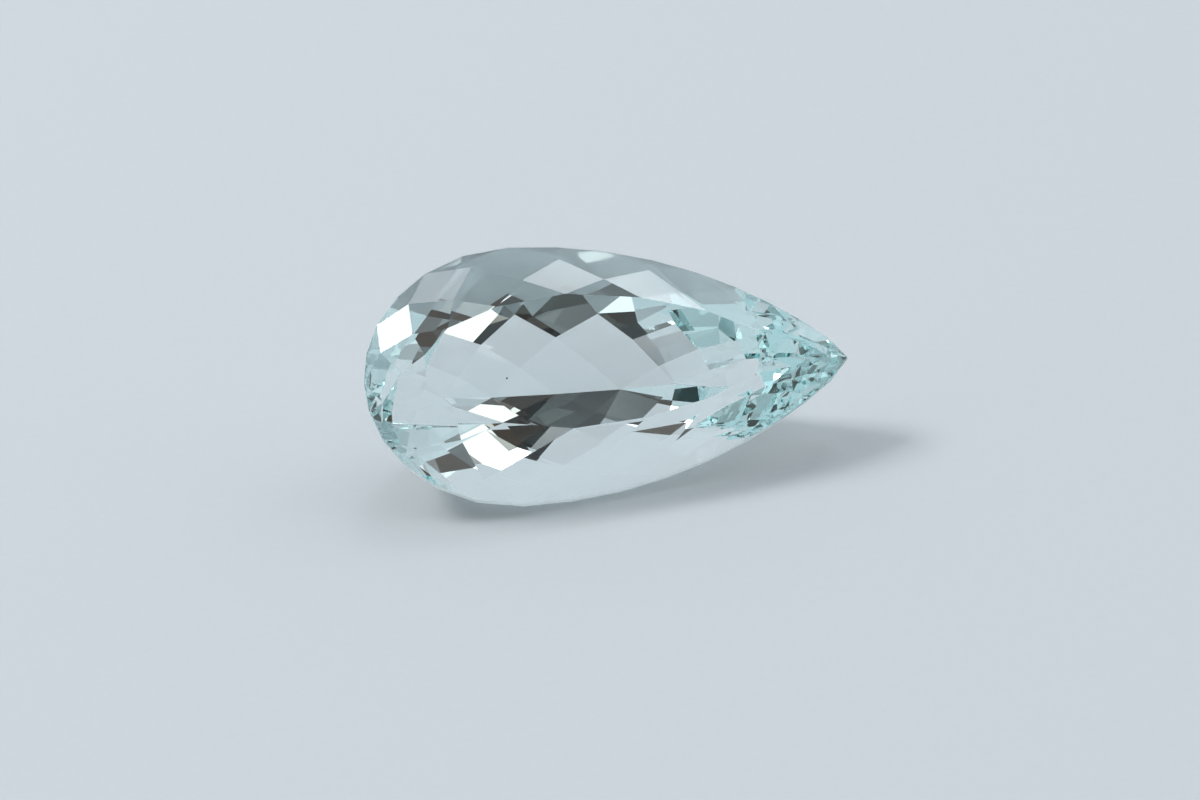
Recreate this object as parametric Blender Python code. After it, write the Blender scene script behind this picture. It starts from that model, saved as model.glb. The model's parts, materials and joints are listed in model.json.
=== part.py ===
"""Pear cut aquamarine: one clear stone bounded by flat facets.

The stone is worked out with its girdle level, its head's end at x = 0 and its point at +X. It is
then laid down as a loose stone lies: leaning on one of its pavilion facets, with the table turned
up and towards -Y. Lengths are in metres, angles in degrees, and +Z is up.
"""

import math

import bmesh
import bpy
import numpy as np
from mathutils import Matrix, Vector

# Girdle outline, seen from above
LENGTH = 0.0200
WIDTH = 0.0110
HEAD_LENGTH = 0.0063
POINT_RADIUS = 0.0006
GIRDLE_THICKNESS = 0.0004

# Facet stations: half steps along one side of the girdle, closer together at both ends
HALF_STEPS = 15
END_CROWDING = 0.25

# Crown: height of each ring of facet corners above the girdle, the last one being the table
CROWN_LEVELS = (0.00060, 0.00125, 0.00170)
CROWN_FIRST_RING = 0.87
CROWN_SPINE = (0.0046, 0.0145)

# Pavilion: share of the way from keel to girdle at which each ring of corners lies
PAVILION_RINGS = (0.885, 0.56, 0.395, 0.205)
PAVILION_SPINE = (0.0023, 0.0160)
PAVILION_SLOPE = 56.5
HEAD_EXTRA_SLOPE = 22.0
POINT_EXTRA_SLOPE = -0.5
HEAD_EXTRA_INSET = 0.06
POINT_EXTRA_INSET = 0.11

# Facet that the stone rests on: its ring of facets and its station
REST_ROW = 2
REST_STEP = -7

# Finish
BODY_COLOUR = (0.74, 0.88, 0.89, 1.0)
POLISH_ROUGHNESS = 0.02
BERYL_IOR = 1.577

ARC_PIECES = 120


def clear_scene():
    for obj in list(bpy.data.objects):
        bpy.data.objects.remove(obj, do_unlink=True)


def arc(centre, radii, start, end):
    """Points of an ellipse's arc between two angles in radians, the start left out."""
    angles = np.linspace(start, end, ARC_PIECES + 1)[1:]
    return [
        (centre[0] + radii[0] * math.cos(a), centre[1] + radii[1] * math.sin(a))
        for a in angles
    ]


def half_outline():
    """One side of the girdle from the head's end to the point: head, long flank, small point."""
    half = WIDTH / 2
    run = LENGTH - POINT_RADIUS - HEAD_LENGTH
    flank = (run**2 + half**2 - POINT_RADIUS**2) / (2 * (half - POINT_RADIUS))
    meeting = math.atan2(flank - half, run)
    points = [(0.0, 0.0)]
    points += arc((HEAD_LENGTH, 0.0), (HEAD_LENGTH, half), math.pi, math.pi / 2)
    points += arc((HEAD_LENGTH, half - flank), (flank, flank), math.pi / 2, meeting)
    points += arc((LENGTH - POINT_RADIUS, 0.0), (POINT_RADIUS, POINT_RADIUS), meeting, 0.0)
    return np.array(points)


def wrapped(step):
    """The same station counted within one turn, negative on the -Y side."""
    return (step + HALF_STEPS) % (2 * HALF_STEPS) - HALF_STEPS


def girdle_stations():
    """Plan position of every half step round the girdle, 0 at the head's end."""
    outline = half_outline()
    walked = np.concatenate([[0.0], np.cumsum(np.linalg.norm(np.diff(outline, axis=0), axis=1))])
    stations = {}
    for step in range(-HALF_STEPS, HALF_STEPS):
        share = abs(step) / HALF_STEPS
        share -= END_CROWDING / math.tau * math.sin(math.tau * share)
        x = np.interp(share * walked[-1], walked, outline[:, 0])
        y = np.interp(share * walked[-1], walked, outline[:, 1])
        stations[step] = np.array([x, math.copysign(y, step), 0.0])
    return stations


def on_spine(station, spine):
    """Point of the stone's middle line that a station's facets lean towards."""
    start, end = spine
    return np.array([start + (end - start) * station[0] / LENGTH, 0.0, 0.0])


def meet(corner, left, right, start, direction):
    """Point where a line meets the flat facet through three corners."""
    normal = np.cross(left - corner, right - corner)
    return start + direction * np.dot(normal, corner - start) / np.dot(normal, direction)


def next_ring(rings, line):
    """Corners that close the facets standing on the ring before last.

    line(step) gives a start and a direction; the new corner is where that line meets the facet.
    """
    before, last = rings[-2:]
    parity = len(rings) % 2
    ring = {}
    for step in range(-HALF_STEPS, HALF_STEPS):
        if step % 2 == parity:
            left, right = last[wrapped(step - 1)], last[wrapped(step + 1)]
            ring[step] = meet(before[step], left, right, *line(step))
    return ring


def crown_rings(stations):
    """Rings of corners from girdle to table; every ring is level."""
    rings = [stations, {}]
    for step in range(-HALF_STEPS, HALF_STEPS):
        if step % 2:
            middle = on_spine(stations[step], CROWN_SPINE)
            rings[1][step] = middle + CROWN_FIRST_RING * (stations[step] - middle)
            rings[1][step][2] = CROWN_LEVELS[0]
    for level in CROWN_LEVELS[1:]:

        def level_line(step, level=level):
            middle = on_spine(stations[step], CROWN_SPINE)
            return middle + np.array([0.0, 0.0, level]), stations[step] - middle

        rings.append(next_ring(rings, level_line))
    return rings


def end_share(step):
    """1 at either end of the stone and 0 half way round."""
    return math.cos(math.pi * step / HALF_STEPS) ** 2


def nearer_head(step):
    return math.cos(math.pi * step / HALF_STEPS) > 0


def pavilion_plan(stations, step, share):
    """Plan position on the way from keel to girdle, a little further in towards both ends."""
    extra = HEAD_EXTRA_INSET if nearer_head(step) else POINT_EXTRA_INSET
    middle = on_spine(stations[step], PAVILION_SPINE)
    inset = (1 - share) * (1 + extra * end_share(step)) if share else 1.0
    return stations[step] + inset * (middle - stations[step])


def pavilion_rings(stations):
    """Rings of corners from girdle to keel, with depth counted as positive."""
    rings = [stations, {}]
    for step in range(-HALF_STEPS, HALF_STEPS):
        if step % 2:
            extra = HEAD_EXTRA_SLOPE if nearer_head(step) else POINT_EXTRA_SLOPE
            slope = math.radians(PAVILION_SLOPE + extra * end_share(step))
            corner = pavilion_plan(stations, step, PAVILION_RINGS[0])
            corner[2] = np.linalg.norm(corner - stations[step]) * math.tan(slope)
            rings[1][step] = corner
    for share in PAVILION_RINGS[1:] + (0.0,):

        def plumb_line(step, share=share):
            return pavilion_plan(stations, step, share), np.array([0.0, 0.0, 1.0])

        rings.append(next_ring(rings, plumb_line))
    return rings


def facets(rings):
    """Every facet as {(row, station): corner keys}; a key is (ring, station)."""
    found = {}
    for step in rings[1]:
        for first in (step - 1, step):
            corners = ((0, wrapped(first)), (0, wrapped(first + 1)), (1, step))
            found[(0, wrapped(first))] = corners
    for row in range(1, len(rings) - 1):
        for step in rings[row + 1]:
            left, right = wrapped(step - 1), wrapped(step + 1)
            found[(row, step)] = ((row - 1, step), (row, right), (row + 1, step), (row, left))
    row = len(rings) - 1
    for step in rings[row - 1]:
        left, right = wrapped(step - 1), wrapped(step + 1)
        if np.linalg.norm(rings[row][left] - rings[row][right]) > 0:
            found[(row, step)] = ((row - 1, step), (row, right), (row, left))
    return found


def add_side(bm, rings, direction):
    """Adds one side's corners and facets, the crown with direction +1, the pavilion with -1."""
    corners = {}
    placed = {}
    for number, ring in enumerate(rings):
        for step, point in ring.items():
            height = direction * (GIRDLE_THICKNESS / 2 + point[2])
            spot = (point[0], point[1], height)
            if spot not in placed:
                placed[spot] = bm.verts.new(spot)
            corners[(number, step)] = placed[spot]
    faces = {
        name: bm.faces.new([corners[key] for key in keys])
        for name, keys in facets(rings).items()
    }
    return corners, faces


def build_mesh():
    """The stone's mesh, and its rest facet's normal with the girdle level."""
    stations = girdle_stations()
    crown = crown_rings(stations)
    bm = bmesh.new()
    upper, _ = add_side(bm, crown, 1)
    lower, pavilion_faces = add_side(bm, pavilion_rings(stations), -1)
    bm.faces.new([upper[(len(crown) - 1, step)] for step in sorted(crown[-1])])
    for step in range(-HALF_STEPS, HALF_STEPS):
        ahead = wrapped(step + 1)
        bm.faces.new([lower[(0, step)], lower[(0, ahead)], upper[(0, ahead)], upper[(0, step)]])
    bmesh.ops.recalc_face_normals(bm, faces=bm.faces[:])
    down = pavilion_faces[(REST_ROW, REST_STEP)].normal.copy()
    mesh = bpy.data.meshes.new("pear_cut_aquamarine")
    bm.to_mesh(mesh)
    bm.free()
    return mesh, down


def resting_pose(mesh, down):
    """Turns the rest facet onto z = 0, length along X, and centres the stone over the origin."""
    up = -down
    along = (Vector((1.0, 0.0, 0.0)) - up.x * up).normalized()
    across = up.cross(along)
    turn = Matrix((along, across, up)).to_4x4()
    points = np.array([turn @ vertex.co for vertex in mesh.vertices])
    low, high = points.min(axis=0), points.max(axis=0)
    shift = Vector((-(low[0] + high[0]) / 2, -(low[1] + high[1]) / 2, -low[2]))
    return Matrix.Translation(shift) @ turn


def clear_beryl():
    material = bpy.data.materials.new("clear beryl")
    material.use_nodes = True
    shader = material.node_tree.nodes["Principled BSDF"]
    shader.inputs["Base Color"].default_value = BODY_COLOUR
    shader.inputs["Roughness"].default_value = POLISH_ROUGHNESS
    shader.inputs["Metallic"].default_value = 0.0
    shader.inputs["IOR"].default_value = BERYL_IOR
    shader.inputs["Transmission Weight"].default_value = 1.0
    return material


def main():
    clear_scene()
    mesh, down = build_mesh()
    stone = bpy.data.objects.new("pear_cut_aquamarine", mesh)
    bpy.context.scene.collection.objects.link(stone)
    stone.matrix_world = resting_pose(mesh, down)
    mesh.materials.append(clear_beryl())


main()
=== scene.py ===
"""Looks of the pear cut aquamarine: polished clear beryl on a pale sheet, in soft room light."""

import json
import math
from random import Random

import bmesh
import bpy
from mathutils import Matrix, Vector


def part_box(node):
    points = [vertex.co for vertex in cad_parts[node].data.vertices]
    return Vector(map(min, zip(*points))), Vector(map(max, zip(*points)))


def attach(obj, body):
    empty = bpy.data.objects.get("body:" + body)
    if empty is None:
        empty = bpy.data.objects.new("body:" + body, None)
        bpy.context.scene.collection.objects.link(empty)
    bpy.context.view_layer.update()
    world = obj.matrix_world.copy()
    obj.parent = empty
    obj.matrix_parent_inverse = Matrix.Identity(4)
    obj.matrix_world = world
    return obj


MM = 0.001

# Camera: the picture, where the stone's centre stands in it, and where the camera is from there
PICTURE = (1200, 800)
STONE_AT = (604.5, 361.0)
METRES_PER_PIXEL = 0.0414 * MM
CAMERA_TOWARD = (180.0, 25.0)
CAMERA_ROLL = -7.7
LENS = 150.0
SENSOR = 36.0
CLIP = (0.01, 10.0)

# Beryl: refractive index, and the tint and density (per metre) of what it absorbs
BERYL_IOR = 1.577
BODY_TINT = (0.16, 0.86, 0.86, 1.0)
BODY_DENSITY = 14.0
# Roughness of the polished facets, at most, and the clouds in which it varies
POLISH = 0.012
POLISH_CLOUDS = 900.0
POLISH_CLOUD_DETAIL = 4.0
POLISH_CLOUD_RANGE = (0.45, 0.75)
# Finely ground girdle: roughness, half height, and how far its middle lies below the table
GIRDLE_ROUGHNESS = 0.35
GIRDLE_HALF = 0.21 * MM
GIRDLE_BELOW_TABLE = 1.9 * MM

# Pinpoint inclusions under the table: along the stone, across it, depth, and radius
INCLUSIONS = (
    (-3.49 * MM, -0.08 * MM, 1.60 * MM, 0.042 * MM),
    (2.23 * MM, 0.64 * MM, 2.20 * MM, 0.016 * MM),
    (-5.42 * MM, 1.53 * MM, 1.20 * MM, 0.014 * MM),
)
INCLUSION_SEED = 7
INCLUSION_UNEVENNESS = (0.75, 1.2)
INCLUSION_COLOUR = (0.10, 0.055, 0.025, 1.0)
INCLUSION_SHADE = 2.0
INCLUSION_MOTTLE = 30000.0
INCLUSION_MOTTLE_DETAIL = 2.0
INCLUSION_ROUGHNESS = 0.5

# Pale sheet, set a little lower than the facet that the stone rests on
FLOOR_SIZE = 1.6
FLOOR_CELLS = 8
FLOOR_GAP = 0.02 * MM
FLOOR_COLOUR = (0.692, 0.736, 0.765, 1.0)
FLOOR_SHADE = 0.97
FLOOR_ROUGHNESS = 0.85
TOOTH_SCALE = 2500.0
TOOTH_DETAIL = 3.0
TOOTH_STRENGTH = 0.15
TOOTH_HEIGHT = 0.03 * MM

# Room light from the horizon up to the ceiling, whose colour starts at this sine of elevation
HORIZON_COLOUR = (0.58, 0.63, 0.67, 1.0)
CEILING_COLOUR = (0.64, 0.70, 0.75, 1.0)
CEILING_FROM = 0.6
# The dark room behind the viewer: azimuth and elevation, full within and gone beyond (degrees)
ROOM_TOWARD = (-174.0, 12.0)
ROOM_EXTENT = (56.0, 66.0)
ROOM_SHADES = (
    (0.38, (0.030, 0.029, 0.030, 1.0)),
    (0.48, (0.100, 0.068, 0.050, 1.0)),
    (0.56, (0.060, 0.062, 0.066, 1.0)),
    (0.68, (0.300, 0.310, 0.320, 1.0)),
)
ROOM_CLUTTER = 3.2
ROOM_CLUTTER_DETAIL = 2.0
# Smaller patches of light and shade: azimuth, elevation, full within, gone beyond, colour
PATCHES = (
    (75.0, 50.0, 15.0, 32.0, (0.95, 1.0, 1.05)),
    (-133.0, 68.0, 7.0, 10.0, (0.05, 0.045, 0.04)),
    (152.0, 48.0, 7.0, 9.0, (1.35, 1.28, 1.22)),
    (-97.0, 58.0, 7.0, 10.0, (1.2, 1.25, 1.3)),
    (22.0, 55.0, 6.0, 8.0, (4.6, 4.7, 4.9)),
    (-33.0, 55.0, 4.0, 6.0, (3.0, 3.1, 3.3)),
    (53.0, 55.0, 6.0, 10.0, (0.12, 0.11, 0.10)),
)

# Key light behind the stone: its azimuth and elevation, distance, side and power
KEY_TOWARD = (-62.0, 48.0)
KEY_DISTANCE = 1.0
KEY_SIDE = 0.35
KEY_POWER = 4.0
KEY_COLOUR = (1.0, 0.99, 0.97)

# Longest light paths, by kind: light is thrown about many times inside the stone
BOUNCES = (("max", 28), ("transmission", 28), ("glossy", 16), ("diffuse", 4))

# Sockets of a Mix node that mixes colours
MIX_FACTOR, MIX_FIRST, MIX_SECOND, MIX_RESULT = 0, 6, 7, 2


def direction(azimuth, elevation):
    """Unit vector; azimuth 0 is +Y, away from the viewer, and 90 is +X."""
    a, e = math.radians(azimuth), math.radians(elevation)
    return Vector((math.sin(a) * math.cos(e), math.cos(a) * math.cos(e), math.sin(e)))


def aim(obj, place, target, roll=0.0):
    """Puts an object at a place with its -Z axis on the target and its top up, then rolls it."""
    turn = (target - place).to_track_quat("-Z", "Y").to_matrix().to_4x4()
    obj.matrix_world = Matrix.Translation(place) @ turn @ Matrix.Rotation(math.radians(roll), 4, "Z")


def make_camera(centre):
    """Camera at the photo's angle, moved sideways until the stone stands where the photo has it."""
    distance = PICTURE[0] * METRES_PER_PIXEL * LENS / SENSOR
    data = bpy.data.cameras.new("camera")
    data.lens = LENS
    data.sensor_width = SENSOR
    data.clip_start, data.clip_end = CLIP
    camera = bpy.data.objects.new("camera", data)
    bpy.context.scene.collection.objects.link(camera)
    aim(camera, centre + direction(*CAMERA_TOWARD) * distance, centre, CAMERA_ROLL)
    right, up, _ = camera.matrix_world.to_3x3().col
    aside = (PICTURE[0] / 2 - STONE_AT[0]) * METRES_PER_PIXEL
    lift = (STONE_AT[1] - PICTURE[1] / 2) * METRES_PER_PIXEL
    camera.location += right * aside + up * lift
    bpy.context.scene.camera = camera


def node(tree, kind, **settings):
    made = tree.nodes.new(kind)
    for key, value in settings.items():
        setattr(made, key, value)
    return made


def coordinates(tree, kind):
    return node(tree, "ShaderNodeTexCoord").outputs[kind]


def noise(tree, where, scale, detail):
    made = node(tree, "ShaderNodeTexNoise")
    made.inputs["Scale"].default_value = scale
    made.inputs["Detail"].default_value = detail
    tree.links.new(where, made.inputs["Vector"])
    return made.outputs["Fac"]


def colour_mix(tree, factor):
    mixed = node(tree, "ShaderNodeMix", data_type="RGBA")
    tree.links.new(factor, mixed.inputs[MIX_FACTOR])
    return mixed


def mottled(tree, factor, colour, shade):
    """A colour that varies between itself and a lighter or darker shade of itself."""
    mixed = colour_mix(tree, factor)
    mixed.inputs[MIX_FIRST].default_value = colour
    mixed.inputs[MIX_SECOND].default_value = [channel * shade for channel in colour[:3]] + [1.0]
    return mixed.outputs[MIX_RESULT]


def new_material(name):
    """A new material, its node tree and its Principled shader."""
    material = bpy.data.materials.new(name)
    material.use_nodes = True
    tree = material.node_tree
    return material, tree, tree.nodes["Principled BSDF"]


def girdle_mask(tree, where, table_normal, girdle_point):
    """1 on the girdle and 0 on the facets above and below it."""
    offset = node(tree, "ShaderNodeVectorMath", operation="SUBTRACT")
    offset.inputs[1].default_value = girdle_point
    tree.links.new(where, offset.inputs[0])
    height = node(tree, "ShaderNodeVectorMath", operation="DOT_PRODUCT")
    height.inputs[1].default_value = table_normal
    tree.links.new(offset.outputs["Vector"], height.inputs[0])
    away = node(tree, "ShaderNodeMath", operation="ABSOLUTE")
    tree.links.new(height.outputs["Value"], away.inputs[0])
    on_girdle = node(tree, "ShaderNodeMath", operation="LESS_THAN")
    on_girdle.inputs[1].default_value = GIRDLE_HALF
    tree.links.new(away.outputs["Value"], on_girdle.inputs[0])
    return on_girdle.outputs["Value"]


def polish_roughness(tree, where):
    """Roughness of the polished facets, in faint clouds."""
    polish = node(tree, "ShaderNodeMapRange")
    polish.inputs["From Min"].default_value = POLISH_CLOUD_RANGE[0]
    polish.inputs["From Max"].default_value = POLISH_CLOUD_RANGE[1]
    polish.inputs["To Min"].default_value = 0.0
    polish.inputs["To Max"].default_value = POLISH
    clouds = noise(tree, where, POLISH_CLOUDS, POLISH_CLOUD_DETAIL)
    tree.links.new(clouds, polish.inputs["Value"])
    return polish.outputs["Result"]


def beryl(table_normal, girdle_point):
    """Clear pale blue-green beryl with polished facets and a finely ground girdle."""
    material, tree, shader = new_material("clear_beryl")
    shader.inputs["Base Color"].default_value = (1.0, 1.0, 1.0, 1.0)
    shader.inputs["IOR"].default_value = BERYL_IOR
    shader.inputs["Transmission Weight"].default_value = 1.0
    where = coordinates(tree, "Object")
    rough = node(tree, "ShaderNodeMix", data_type="FLOAT")
    on_girdle = girdle_mask(tree, where, table_normal, girdle_point)
    tree.links.new(on_girdle, rough.inputs["Factor"])
    tree.links.new(polish_roughness(tree, where), rough.inputs["A"])
    rough.inputs["B"].default_value = GIRDLE_ROUGHNESS
    tree.links.new(rough.outputs["Result"], shader.inputs["Roughness"])
    inside = node(tree, "ShaderNodeVolumeAbsorption")
    inside.inputs["Color"].default_value = BODY_TINT
    inside.inputs["Density"].default_value = BODY_DENSITY
    tree.links.new(inside.outputs["Volume"], tree.nodes["Material Output"].inputs["Volume"])
    return material


def brown_mineral():
    """Mottled brown of a small foreign crystal."""
    material, tree, shader = new_material("brown_mineral")
    shader.inputs["Roughness"].default_value = INCLUSION_ROUGHNESS
    where = coordinates(tree, "Object")
    mottle = noise(tree, where, INCLUSION_MOTTLE, INCLUSION_MOTTLE_DETAIL)
    shades = mottled(tree, mottle, INCLUSION_COLOUR, INCLUSION_SHADE)
    tree.links.new(shades, shader.inputs["Base Color"])
    return material


def make_inclusions(table_centre, table_normal):
    """Tiny irregular grains sealed in the clear stone, in one mesh."""
    along = (Vector((1, 0, 0)) - table_normal.x * table_normal).normalized()
    across = table_normal.cross(along)
    random = Random(INCLUSION_SEED)
    bm = bmesh.new()
    for forward, aside, depth, radius in INCLUSIONS:
        place = table_centre + along * forward + across * aside - table_normal * depth
        grain = bmesh.ops.create_icosphere(bm, subdivisions=2, radius=radius)["verts"]
        for vertex in grain:
            vertex.co *= random.uniform(*INCLUSION_UNEVENNESS)
            vertex.co += place
    mesh = bpy.data.meshes.new("inclusions")
    bm.to_mesh(mesh)
    bm.free()
    mesh.materials.append(brown_mineral())
    grains = bpy.data.objects.new("inclusions", mesh)
    bpy.context.scene.collection.objects.link(grains)
    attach(grains, "root")


def pale_paper():
    """Smooth pale paper with a faint tooth."""
    material, tree, shader = new_material("pale_paper")
    shader.inputs["Roughness"].default_value = FLOOR_ROUGHNESS
    tooth = noise(tree, coordinates(tree, "Object"), TOOTH_SCALE, TOOTH_DETAIL)
    shades = mottled(tree, tooth, FLOOR_COLOUR, FLOOR_SHADE)
    tree.links.new(shades, shader.inputs["Base Color"])
    bump = node(tree, "ShaderNodeBump")
    bump.inputs["Strength"].default_value = TOOTH_STRENGTH
    bump.inputs["Distance"].default_value = TOOTH_HEIGHT
    tree.links.new(tooth, bump.inputs["Height"])
    tree.links.new(bump.outputs["Normal"], shader.inputs["Normal"])
    return material


def pale_sheet():
    """The ground that the stone lies on."""
    mesh = bpy.data.meshes.new("pale_sheet")
    bm = bmesh.new()
    bmesh.ops.create_grid(bm, x_segments=FLOOR_CELLS, y_segments=FLOOR_CELLS, size=FLOOR_SIZE / 2)
    bm.to_mesh(mesh)
    bm.free()
    mesh.materials.append(pale_paper())
    sheet = bpy.data.objects.new("pale_sheet", mesh)
    sheet.location.z = -FLOOR_GAP
    bpy.context.scene.collection.objects.link(sheet)


def patch(tree, toward, extent, under):
    """Colour mix that lays its second colour over what is there, in one round part of the room.

    The extent is two angles: full inside the first and gone beyond the second.
    """
    nearness = node(tree, "ShaderNodeVectorMath", operation="DOT_PRODUCT")
    nearness.inputs[1].default_value = direction(*toward)
    tree.links.new(coordinates(tree, "Generated"), nearness.inputs[0])
    share = node(tree, "ShaderNodeMapRange", interpolation_type="SMOOTHSTEP")
    inner, outer = extent
    share.inputs["From Min"].default_value = math.cos(math.radians(outer))
    share.inputs["From Max"].default_value = math.cos(math.radians(inner))
    tree.links.new(nearness.outputs["Value"], share.inputs["Value"])
    mixed = colour_mix(tree, share.outputs["Result"])
    tree.links.new(under, mixed.inputs[MIX_FIRST])
    return mixed


def plain_room(tree):
    """Pale light all round, a little brighter overhead."""
    parts = node(tree, "ShaderNodeSeparateXYZ")
    tree.links.new(coordinates(tree, "Generated"), parts.inputs["Vector"])
    shades = node(tree, "ShaderNodeValToRGB")
    horizon, ceiling = shades.color_ramp.elements
    horizon.position, horizon.color = 0.0, HORIZON_COLOUR
    ceiling.position, ceiling.color = CEILING_FROM, CEILING_COLOUR
    tree.links.new(parts.outputs["Z"], shades.inputs["Fac"])
    return shades.outputs["Color"]


def dark_room(tree):
    """Uneven dark shades of the room behind the viewer."""
    shades = node(tree, "ShaderNodeValToRGB")
    ramp = shades.color_ramp
    while len(ramp.elements) < len(ROOM_SHADES):
        ramp.elements.new(1.0)
    for element, (position, colour) in zip(ramp.elements, ROOM_SHADES):
        element.position, element.color = position, colour
    where = coordinates(tree, "Generated")
    clutter = noise(tree, where, ROOM_CLUTTER, ROOM_CLUTTER_DETAIL)
    tree.links.new(clutter, shades.inputs["Fac"])
    return shades.outputs["Color"]


def room_light():
    """Soft light of a pale room that is dark behind the viewer, with a few windows and shades."""
    world = bpy.data.worlds.new("room")
    world.use_nodes = True
    tree = world.node_tree
    mixed = patch(tree, ROOM_TOWARD, ROOM_EXTENT, plain_room(tree))
    tree.links.new(dark_room(tree), mixed.inputs[MIX_SECOND])
    for azimuth, elevation, inner, outer, colour in PATCHES:
        mixed = patch(tree, (azimuth, elevation), (inner, outer), mixed.outputs[MIX_RESULT])
        mixed.inputs[MIX_SECOND].default_value = colour + (1.0,)
    background = tree.nodes["Background"]
    tree.links.new(mixed.outputs[MIX_RESULT], background.inputs["Color"])
    background.inputs["Strength"].default_value = 1.0
    bpy.context.scene.world = world


def key_light(centre):
    data = bpy.data.lights.new("key_light", "AREA")
    data.size = KEY_SIDE
    data.energy = KEY_POWER
    data.color = KEY_COLOUR
    lamp = bpy.data.objects.new("key_light", data)
    bpy.context.scene.collection.objects.link(lamp)
    aim(lamp, centre + direction(*KEY_TOWARD) * KEY_DISTANCE, centre)


def set_light_paths():
    cycles = bpy.context.scene.cycles
    for kind, count in BOUNCES:
        setattr(cycles, kind + "_bounces", count)
    cycles.caustics_refractive = True
    cycles.caustics_reflective = False


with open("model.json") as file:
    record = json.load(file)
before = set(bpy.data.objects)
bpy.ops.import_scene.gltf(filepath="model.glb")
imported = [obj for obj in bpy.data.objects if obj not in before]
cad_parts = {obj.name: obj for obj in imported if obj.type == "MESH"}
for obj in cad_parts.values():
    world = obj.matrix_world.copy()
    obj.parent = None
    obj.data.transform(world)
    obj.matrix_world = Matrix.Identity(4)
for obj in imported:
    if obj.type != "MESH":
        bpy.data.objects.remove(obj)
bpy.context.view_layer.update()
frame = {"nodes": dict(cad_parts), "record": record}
stone = frame["nodes"]["pear_cut_aquamarine"]
low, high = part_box("pear_cut_aquamarine")
centre = Vector([(a + b) / 2 for a, b in zip(low, high)])
mount = next(mount for mount in frame["record"]["mounts"] if mount["name"] == "table_facet")
table = Vector(mount["pos_m"])
normal = Vector(mount["axis"]).normalized()

stone.data.materials.clear()
stone.data.materials.append(beryl(normal, table - normal * GIRDLE_BELOW_TABLE))
make_inclusions(table, normal)
make_camera(centre)
pale_sheet()
room_light()
key_light(centre)
set_light_paths()
bpy.context.scene.view_settings.view_transform = "Standard"
